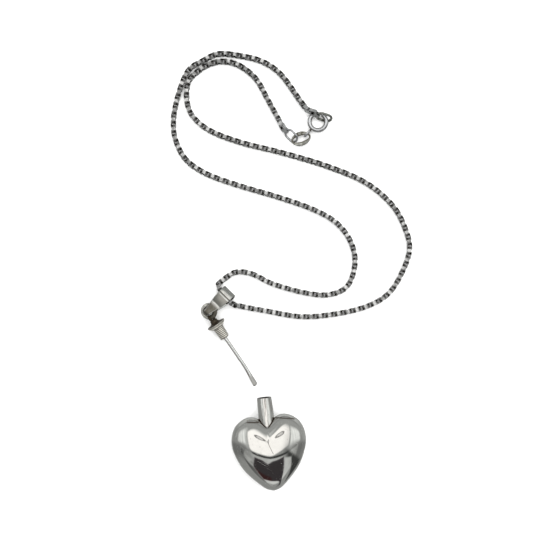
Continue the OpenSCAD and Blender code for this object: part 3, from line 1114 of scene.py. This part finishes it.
    def build(self) -> None:
        """Model the bail and its ring, and dress them."""
        piece = self.strip()
        settle(piece, self.place)
        smooth(piece, 40)
        metal = Silver(
            "satin_grey_silver", bright=(0.72, 0.72, 0.70), dark=(0.13, 0.11, 0.075),
            gloss=0.2, cloud=0.1, cloud_scale=0.5, grain=0.02,
        )
        finish(piece, metal.make(self.place, self.darkening), Slot.AGED, "bail")
        ring = ring_of_wire("jump_ring_wire", self.ring_size + 0.02, self.ring_size, self.ring_wire, 20)
        settle(ring, self.ring_place)
        smooth(ring, 60)
        metal = Silver(
            "grey_wire_silver", bright=(0.9, 0.89, 0.84), dark=(0.08, 0.065, 0.04),
            gloss=0.14, grain=0.03, satin=0.2,
        )
        finish(ring, metal.make(self.ring_place, self.ring_darkening), Slot.AGED, "jump_ring")


# Box chain


@dataclass
class BoxChain:
    """Box chain of interlocking links, laid along its route."""

    length: float = 2.6
    end_length: float = 2.15
    width: float = 1.74
    strip: float = 1.22
    thick: float = 0.25
    corner_round: float = 0.3
    pitch: float = 1.58
    roll: float = 7.0
    line_steps: int = 40
    # Height of the route where the chain lies on the floor
    lying: float = 0.9
    # Turn of the first and the last link, and how far along the chain it eases off
    end_rolls: tuple[float, float] = (36.5, -50.0)
    twist: float = 1.4
    # Where a painted highlight lightens the chain: beside the clasp, and beside the oval ring
    painted_highlight_spots: tuple[tuple[float, float], ...] = ((7.4, 53.0), (-2.0, 47.2))
    end_links: tuple[tuple[str, Matrix], ...] = field(
        default_factory=lambda: (
            ("end_link_a", at((8.45, 52.25, 3.05)) @ turn("Z", -31.5) @ turn("Y", 15) @ turn("X", -36.5)),
            ("end_link_b", at((-2, 47.15, 1.4)) @ turn("Z", -46.5) @ turn("Y", -7) @ turn("X", -50)),
        )
    )
    # The route's points, listed along the middle of the chain
    route: tuple[Point, ...] = (
        (7.1, 53.1, 3.35), (5.3, 54, 2.7), (3, 57, 1.4), (-3.5, 66, 0.9), (-10, 70.5, 0.9), (-18, 72.5, 0.9),
        (-25, 73, 0.9), (-30.5, 70.5, 0.9), (-34.5, 68, 0.9), (-37, 63.5, 0.9), (-39, 57, 0.9),
        (-40, 51, 0.9), (-39.5, 44.5, 0.9), (-36, 37.5, 0.9), (-29, 32.5, 0.9), (-18, 28.5, 0.9),
        (-4.5, 24.5, 0.9), (7, 20.5, 0.9), (15, 16, 0.9), (20, 9.5, 0.9), (21.5, 2, 0.9), (19, -5.5, 0.9),
        (13, -8.5, 0.9), (5, -8, 0.9), (-6, -5, 0.9), (-13.5, -1.5, 0.9), (-19, -1, 0.9), (-23, -3.5, 0.9),
        (-24.7, -6, 1.2), (-20.3, -11.3, 2.5), (-17, -12.5, 1.2), (-9, -14, 0.95), (3.5, -16, 0.9),
        (15.5, -15, 0.9), (25.5, -12.5, 0.9), (32.5, -8.5, 0.9), (37, -2, 0.9), (40, 6.5, 0.9),
        (38.5, 14, 0.9), (34, 22, 0.9), (25, 29.5, 0.9), (12, 35, 0.9), (-3, 39.5, 0.9), (-17, 43, 0.9),
        (-27.5, 47, 0.9), (-33.5, 52, 0.9), (-35.5, 57.5, 0.9), (-35, 63.5, 0.9), (-32, 67, 0.9),
        (-28, 69.5, 0.9), (-23, 70.5, 0.9), (-17.5, 69, 0.9), (-12, 64.5, 0.9), (-8, 57.5, 0.9),
        (-2.9, 48.2, 1.2),
    )

    def link(self, name: str, length: float) -> bpy.types.Object:
        """One link: a strip bent into a rectangle along X that carries its own coordinates.

        Args:
            name: the link's name.
            length: length over the strip.

        Returns:
            The mesh object, in millimetres.
        """
        clear()
        bpy.ops.mesh.primitive_cube_add(size=1)
        piece = started(name)
        edit("FACE")
        bpy.ops.transform.resize(value=(length, self.width, self.strip), center_override=(0, 0, 0))
        pick(piece, lambda f: abs(f.normal.z) > 0.9)
        bpy.ops.mesh.inset(thickness=self.thick, depth=0)
        bpy.ops.mesh.bridge_edge_loops()
        half_length = length / 2
        half_width = self.width / 2

        def corner(edge: bpy.types.MeshEdge) -> bool:
            """Whether an edge is one of the four outer corners.

            Args:
                edge: an edge of the link.

            Returns:
                True for a corner.
            """
            a, b = (piece.data.vertices[i].co for i in edge.vertices)
            upright = abs(a.z - b.z) > 0.5 * self.strip and (a.xy - b.xy).length < 0.01
            return upright and abs(abs(a.x) - half_length) < 0.01 and abs(abs(a.y) - half_width) < 0.01

        pick(piece, corner, "edges")
        bpy.ops.mesh.bevel(offset=self.corner_round, segments=2, affect="EDGES")
        tidy()
        spots = piece.data.attributes.new("link_spot", "FLOAT_VECTOR", "POINT")
        share = Vector((self.length / length, 1, 1))
        spots.data.foreach_set("vector", [c for v in piece.data.vertices for c in v.co * share])
        smooth(piece, 30)
        return piece

    def line(self) -> np.ndarray:
        """Close points along the route's curve.

        Returns:
            A row for each point, in millimetres.
        """
        rows = [Vector(p) for p in self.route]
        last = len(rows) - 1
        steps = self.line_steps
        return np.array([
            curve_through(rows[max(i - 1, 0)], rows[i], rows[i + 1], rows[min(i + 2, last)], k / steps)
            for i in range(last)
            for k in range(steps)
        ] + [rows[last]])

    def stations(self) -> list[Matrix]:
        """The place of each link, a pitch apart and turned a quarter from its neighbours.

        Returns:
            A place for each link, in millimetres.
        """
        points = self.line()
        far = np.concatenate([[0], np.cumsum(np.linalg.norm(np.diff(points, axis=0), axis=1))])
        whole = far[-1]
        count = int(round(whole / self.pitch)) + 1
        half_width = self.width / 2
        half_strip = self.strip / 2
        places = []
        for k, s in enumerate(np.linspace(0, whole, count)):
            spot, before, after = (
                Vector([float(np.interp(min(max(s + d, 0), whole), far, points[:, a])) for a in range(3)])
                for d in (0, -0.7, 0.7)
            )
            ahead = (after - before).normalized()
            side = Vector((0, 0, 1)).cross(ahead).normalized()
            up = ahead.cross(side)
            drift = 4 * math.sin(s / 17.0) + 3 * math.sin(s / 5.3 + 1.0) - self.roll * ahead.x
            first = math.exp(-((s / self.twist) ** 2))
            final = math.exp(-(((whole - s) / self.twist) ** 2))
            final_roll = self.end_rolls[1] + (0 if count % 2 else 90)
            wave = drift * (1 - first) * (1 - final) + self.end_rolls[0] * first + final_roll * final
            spin = math.radians(wave + 90 * ((k + 1) % 2))
            sine = abs(math.sin(math.radians(wave)))
            cosine = abs(math.cos(math.radians(wave)))
            reach = max(half_width * sine + half_strip * cosine, half_width * cosine + half_strip * sine)
            y_axis = side * math.cos(spin) + up * math.sin(spin)
            z_axis = ahead.cross(y_axis)
            basis = Matrix((ahead, y_axis, z_axis)).transposed().to_4x4()
            places.append(at(spot + Vector((0, 0, max(reach - self.lying, 0)))) @ basis)
        return places

    def darkening(self, graph: Graph, own: Sock) -> Sock:
        """Black inside a link, dark at its ends and along the strip's edges, tarnish and painted shade both;
        little in its middle, and lighter beside the clasp and the oval ring as a painted highlight.

        Args:
            graph: the material's nodes.
            own: the piece's own coordinates in millimetres.

        Returns:
            The mask.
        """
        x, y, z = graph.parts(graph.add("ShaderNodeAttribute", {"attribute_name": "link_spot"}, {}, "Vector"))
        long, wide, high = abs(x), abs(y), abs(z)
        east, north, _ = graph.parts(own)
        blotch = graph.noise(own, 1.3, 3.0)
        hole_long = self.length / 2 - self.thick
        hole_wide = self.width / 2 - self.thick
        # Tarnish and painted shade: the inside of a link is black.
        inside = long.rise(hole_long + 0.02, hole_long) * wide.rise(hole_wide + 0.02, hole_wide)
        rim = high.rise(self.strip / 2 - 0.03, self.strip / 2 - 0.01)
        # Tarnish and painted shade: outer faces dark towards the link's ends, and the strip's edges darkened.
        ends = long.rise(0.4, 0.64)
        corner = high.rise(0.08, 0.2) * (x * z).rise(0.06, -0.04)
        face = ends * (0.82 + corner * 0.18) * (1 - rim)
        side = rim * (0.48 + long.rise(0.95, 0.75) * (0.12 + (x * y).rise(0.05, -0.1) * 0.46))
        uneven = graph.noise(own, 0.33, 2.0).rise(0.42, 0.66) * 0.6
        # Painted highlight: the chain lightened beside the clasp and the oval ring.
        by_clasp, by_ring = (
            (((east - spot[0]) ** 2 + (north - spot[1]) ** 2) ** 0.5).rise(4.6, 2.2) for spot in self.painted_highlight_spots
        )
        highlight_near_ends = by_clasp.most(by_ring)
        outside_tarnish_and_shade = face.most(side).most(blotch.rise(0.5, 0.7) * 0.6).most(uneven) * (1 - highlight_near_ends * 0.7)
        return inside.most(outside_tarnish_and_shade).least(1.0)

    def build(self) -> None:
        """Lay the links, and dress them and the two end links."""
        still = Matrix.Identity(4)
        metal = Silver(
            "chain_silver_tarnish_and_shade", bright=(0.76, 0.765, 0.77), dark=(0.014, 0.011, 0.008),
            gloss=0.26, dull=0.5, cloud=0.3, cloud_scale=0.9, grain=0.04, satin=0.13,
        )
        material = metal.make(still, self.darkening)
        pattern = self.link("link", self.length)
        copies = []
        for place in self.stations():
            copy = pattern.copy()
            copy.data = pattern.data.copy()
            bpy.context.scene.collection.objects.link(copy)
            copy.data.transform(Matrix.Scale(MM, 4) @ place)
            copies.append(copy)
        chain = join("box_chain", copies)
        finish(chain, material, Slot.CHAIN, "chain")
        for node, place in self.end_links:
            piece = self.link(node + "_link", self.end_length)
            settle(piece, place)
            finish(piece, material, Slot.CHAIN, node)
        bpy.data.objects.remove(pattern)


# Clasp and rings


@dataclass
class ClaspAndRings:
    """Spring ring clasp with its bolt, and the three rings beside it."""

    clasp_place: Matrix = field(default_factory=lambda: at((8.9, 50, 1.6)))
    end_place: Matrix = field(
        default_factory=lambda: at((10.95, 51.5, 2.12)) @ turn("Z", -16) @ turn("Y", 16.5) @ turn("X", 56.5)
    )
    tag_place: Matrix = field(default_factory=lambda: at((3.2, 44.3, 1.5)) @ turn("Z", 18))
    oval_place: Matrix = field(
        default_factory=lambda: at((-0.1, 45.3, 1.45)) @ turn("Z", -45) @ turn("X", 40)
    )
    # Length, width and wire of the two oval rings
    end_size: Point = (6.0, 4.2, 0.86)
    oval_size: Point = (5.5, 3.9, 0.7)

    def ring_darkening(self, graph: Graph, own: Sock) -> Sock:
        """Tarnish clouds and the soldered joint, and darker towards the underside.

        Args:
            graph: the material's nodes.
            own: the piece's own coordinates in millimetres.

        Returns:
            The mask.
        """
        x, y, z = graph.parts(own)
        blotch = graph.noise(own, 1.1, 4.0)
        joint = abs(x - 0.3).rise(0.12, 0.04) * y.rise(0.5, 1.0)
        low = z.rise(-0.05, -0.2)
        return (blotch.rise(0.45, 0.7) * 0.6).most(joint * 0.7).most(low * 0.7).least(1.0)

    def clasp_darkening(self, graph: Graph, own: Sock) -> Sock:
        """Painted shade on the clasp's inner and outer sides, tarnish at the soldered joint of its eye, and
        faint clouds of tarnish.

        Args:
            graph: the material's nodes.
            own: the piece's own coordinates in millimetres.

        Returns:
            The mask.
        """
        x, y, _ = graph.parts(own)
        radius = (x * x + y * y) ** 0.5
        # Painted shade: dark lines along the clasp's inner and outer sides.
        inner = radius.rise(2.5, 2.2)
        outer = radius.band(3.3, 3.5, 0.08) * 0.5
        joint = (x * 0.707 + y * 0.707).band(-4.15, -3.5, 0.12)
        return (inner * 0.9).most(outer).most(joint * 0.95).most(no_wear(graph, own)).least(1.0)

    def tag_darkening(self, graph: Graph, own: Sock) -> Sock:
        """Tarnish patches, most on the far side, and darker inner edges.

        Args:
            graph: the material's nodes.
            own: the piece's own coordinates in millimetres.

        Returns:
            The mask.
        """
        x, y, _ = graph.parts(own)
        patch = graph.noise(own, 1.5, 4.0).rise(0.36, 0.58) * (0.45 + y.rise(-0.5, 1.0) * 0.4)
        inner = ((x / 2.95) ** 2 + (y / 1.2) ** 2).rise(1.5, 1.1)
        return patch.most(inner * 0.85).least(1.0)

    def build(self) -> None:
        """Model the rings, soften the clasp and dress them all."""
        bright = Silver(
            "smooth_clasp_silver", bright=(0.78, 0.79, 0.82), dark=(0.12, 0.09, 0.06),
            gloss=0.2, cloud=0.08, grain=0.02, satin=0.05,
        )
        aged = Silver(
            "aged_ring_silver", bright=(0.56, 0.57, 0.54), dark=(0.1, 0.085, 0.055),
            gloss=0.22, cloud=0.2, grain=0.04,
        )
        for name, place, size, metal, slot, node in (
            ("end_ring_wire", self.end_place, self.end_size, aged, Slot.AGED, "end_ring"),
            ("oval_ring_wire", self.oval_place, self.oval_size, bright, Slot.BRIGHT, "oval_ring"),
        ):
            ring = ring_of_wire(name, *size, 18)
            settle(ring, place)
            smooth(ring, 60)
            finish(ring, metal.make(place, self.ring_darkening), slot, node)
        for name, node, place, bevel, metal, slot, darkening in (
            ("spring_ring_body", "spring_ring", self.clasp_place, 0.04, bright, Slot.BRIGHT, self.clasp_darkening),
            ("bolt_body", "clasp_bolt", self.clasp_place, 0.05, bright, Slot.BRIGHT, self.clasp_darkening),
            ("tag_ring_plate", "tag_ring", self.tag_place, 0.09, aged, Slot.AGED, self.tag_darkening),
        ):
            piece = copied_node(name, node, bevel)
            finish(piece, metal.make(place, darkening), slot, node)


# Studio


@dataclass
class Studio:
    """Pale floor, soft light with its reflections, and the camera of the photograph."""

    # Places and sizes in metres
    eye: Point = (-0.0085, 0.001, 0.4)
    half_view: float = 0.0906
    floor_size: float = 6
    floor_drop: float = 0.00005
    floor_colour: Colour = (0.93, 0.93, 0.93)
    lamp_place: Point = (0.2, 0.4, 1.6)
    lamp_size: float = 3.0
    lamp_tilt: tuple[float, float] = (-14, 7)
    lamp_power: float = 78.0
    # Brightness and tint of what the silver mirrors
    wall_tone: float = 0.29
    table_tone: float = 0.27
    card_tone: float = 0.04
    flag_tone: float = 0.047
    room_tint: Colour = (0.975, 1.0, 0.97)
    main_tint: Colour = (1.0, 0.985, 0.95)
    card_tint: Colour = (1.0, 0.9, 0.95)
    card_red: Colour = (1.0, 0.45, 0.45)
    # The lens in the main softbox: how far back it is, and its half width and height
    lens_back: float = 0.36
    lens_wide: float = 0.15
    lens_high: float = 0.088

    def camera(self) -> None:
        """Look straight down from above the middle of the photograph."""
        data = bpy.data.cameras.new("photo_camera")
        data.angle = 2 * math.atan(self.half_view / self.eye[2])
        camera = bpy.data.objects.new("photo_camera", data)
        camera.location = self.eye
        bpy.context.scene.collection.objects.link(camera)
        bpy.context.scene.camera = camera
        bpy.context.scene.view_settings.view_transform = "Standard"

    def floor(self) -> None:
        """A plain pale sheet."""
        clear()
        bpy.ops.mesh.primitive_plane_add(size=self.floor_size, location=(0, 0, -self.floor_drop))
        sheet = started("floor")
        material = bpy.data.materials.new("pale_sheet")
        material.use_nodes = True
        graph = Graph(material.node_tree)
        inputs = {"Base Color": (*self.floor_colour, 1), "Roughness": 0.9}
        shader = graph.add("ShaderNodeBsdfPrincipled", {}, inputs)
        graph.node("ShaderNodeOutputMaterial", {}, {"Surface": shader})
        sheet.data.materials.append(material)
        sheet.visible_glossy = False

    def boxes(self, u: Sock, v: Sock) -> tuple[Sock, Sock]:
        """Softboxes over the table: a main one, one on each side and the glow between them.

        Args:
            u: how far to the right a direction leans, over its height.
            v: how far back it leans, over its height.

        Returns:
            The light from the ceiling and its boxes, and the mask of the main box.
        """
        wall = self.wall_tone + v.rise(0.0, 0.8) * v.rise(4.0, 1.5) * 0.06
        main = u.band(-0.44, 0.425, 0.02) * (v - u.most(0.05) * 0.33).rise(-0.24, -0.19) * v.rise(1.3, 0.55)
        main = main * (u + v).rise(-0.66, -0.54) * (v + u * 0.6).rise(1.35, 0.6)
        main = main * (v - u * 0.8).rise(0.98, 0.76)
        main = main * (1 - u.rise(0.2, 0.4) * v.rise(0.12, -0.25) * 0.75)
        streaks = (u * 21.0 + v * 5.0).wave().rise(-0.6, 0.8)
        left = u.rise(-0.52, -0.66) * u.rise(-2.3, -1.2) * v.rise(-0.16, 0.04) * v.rise(1.15, 0.5)
        right = u.rise(0.46, 0.53) * u.rise(2.8, 1.6) * v.rise(-0.24, 0.08) * v.rise(0.9, 0.45)
        between = u.band(-0.6, -0.45, 0.06) * 0.2 + u.band(0.425, 0.48, 0.02) * 0.06
        fade = 1 - u.rise(0.12, 0.42) * 0.32
        glow = wall + main * fade * 0.82 + left * (0.6 - streaks * 0.2) + right * (0.62 - streaks * 0.12)
        return glow + between * v.rise(-0.3, 0.0) * v.rise(1.2, 0.5), main

    def cards(self, sky: Sock, u: Sock, v: Sock) -> tuple[Sock, Sock]:
        """Dark card before the table, the pale border round it and the slatted side.

        Args:
            sky: the light so far.
            u: how far to the right a direction leans, over its height.
            v: how far back it leans, over its height.

        Returns:
            The light with the cards, and the mask of the dark one.
        """
        border = v.rise(-0.24, -0.28) * v.rise(-2.9, -1.7) * u.band(-1.2, 1.5, 0.3)
        sky = sky + border * (0.16 + u.rise(-0.4, 0.2) * 0.1 + v.rise(-1.2, -1.7) * 0.14)
        sky = sky * (1 - v.band(-0.28, -0.222, 0.014) * u.band(-0.42, 0.5, 0.05) * 0.92)
        notch = (0.12 - abs(u + 0.06)).most(0.0) * 0.6
        card = (v + notch - u.most(0.0) * 0.12).rise(-0.335, -0.37) * (u - v * 0.66).rise(-0.17, -0.12)
        card = card * u.rise(-0.74, -0.66)
        card = card * (u + v * 0.55).rise(0.23, 0.17) * (v + u * u * 0.7).rise(-1.42, -1.33)
        sky = sky * (1 - card) + card * self.card_tone
        dim = v.rise(-0.75, -1.0) * v.rise(-2.8, -2.2) * u.band(-1.35, -0.7, 0.12) * (1 - card)
        slats = (u * 8.1 - v * 9.0).wave().rise(-0.2, 0.6)
        slats = slats * u.band(-1.6, -0.58, 0.15) * v.band(-0.75, -0.3, 0.12)
        corner = u.band(-0.85, -0.45, 0.1) * v.band(-0.5, -0.2, 0.08)
        return sky * (1 - dim * 0.74) * (1 - slats * 0.5) * (1 - corner * 0.3), card

    def lens(self, sky: Sock, u: Sock, v: Sock) -> Sock:
        """Dark ring of the camera's lens in the main softbox."""
        out = (u / self.lens_wide) ** 2 + ((v - self.lens_back) / self.lens_high) ** 2
        return sky * (1 - out.band(0.42, 1.1, 0.2) * 0.87) * (1 - out.rise(0.5, 0.3) * 0.35)

    def flag(self, x: Sock, y: Sock, z: Sock) -> Sock:
        """Mask of a dark flag that widens from the main box's corner down past the table's edge.

        Args:
            x: how far to the right a direction points.
            y: how far back it points.
            z: how far up it points.

        Returns:
            The mask.
        """
        over = (y + z * 0.035 + x * 0.215).rise(0.01, -0.02) * (y - z * 0.046 + x * 0.55).rise(0.06, -0.03)
        under = (y + z * 0.19 + x * 0.37).most(y - z * 0.407 + x * 1.084).rise(-0.03, 0.02)
        return over * under * z.rise(-0.5, -0.2) * x.rise(0.22, 0.5)

    def room(self) -> None:
        """The soft room that the silver mirrors."""
        world = bpy.data.worlds.new("soft_room")
        world.use_nodes = True
        bpy.context.scene.world = world
        graph = Graph(world.node_tree)
        x, y, z = graph.parts(graph.add("ShaderNodeTexCoord", {}, {}, "Generated"))
        up = z.most(0.02)
        u, v = x / up, y / up
        above = z.rise(-0.02, 0.1)
        sky, main = self.boxes(u, v)
        sky, card = self.cards(sky, u, v)
        sides = abs(x).rise(0.5, 0.75) * y.band(-0.53, -0.13, 0.09) * 0.4
        table = self.table_tone + z.rise(-0.2, -0.8) * 0.09
        table = table + x.rise(0.3, 0.9) * 0.08 + y.rise(0.35, 0.85) * 0.2
        flag = self.flag(x, y, z)
        glow = (self.lens(sky, u, v) * above + (1 - above) * table) * (1 - flag) * (1 - sides)
        glow = glow + flag * self.flag_tone
        tint = graph.blend(main * above, self.room_tint, self.main_tint)
        tint = graph.blend(card * above, tint, self.card_tint)
        tint = graph.blend(card * above * v.rise(-0.85, -1.05) * u.rise(0.1, -0.1), tint, self.card_red)
        shade = graph.add("ShaderNodeBackground", {}, {"Color": tint, "Strength": glow})
        graph.node("ShaderNodeOutputWorld", {}, {"Surface": shade})

    def lamp(self) -> None:
        """A lamp above the floor, which the silver doesn't mirror."""
        data = bpy.data.lights.new("floor_lamp", "AREA")
        data.energy = self.lamp_power
        data.size = self.lamp_size
        holder = bpy.data.objects.new("floor_lamp", data)
        holder.location = self.lamp_place
        holder.rotation_euler = (*map(math.radians, self.lamp_tilt), 0)
        holder.visible_glossy = False
        bpy.context.scene.collection.objects.link(holder)

    def build(self) -> None:
        """Set up the studio."""
        self.camera()
        self.floor()
        self.room()
        self.lamp()


def main() -> None:
    """Build the pieces in order."""
    logging.basicConfig(level=logging.INFO, format="%(name)s: %(message)s")
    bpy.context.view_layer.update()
    Studio().build()
    for piece in (HeartBottle(), Stopper(), BailAndRing(), BoxChain(), ClaspAndRings()):
        piece.build()
        log.info("%s built", type(piece).__name__)
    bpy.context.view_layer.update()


if __name__ == "__main__":
    main()
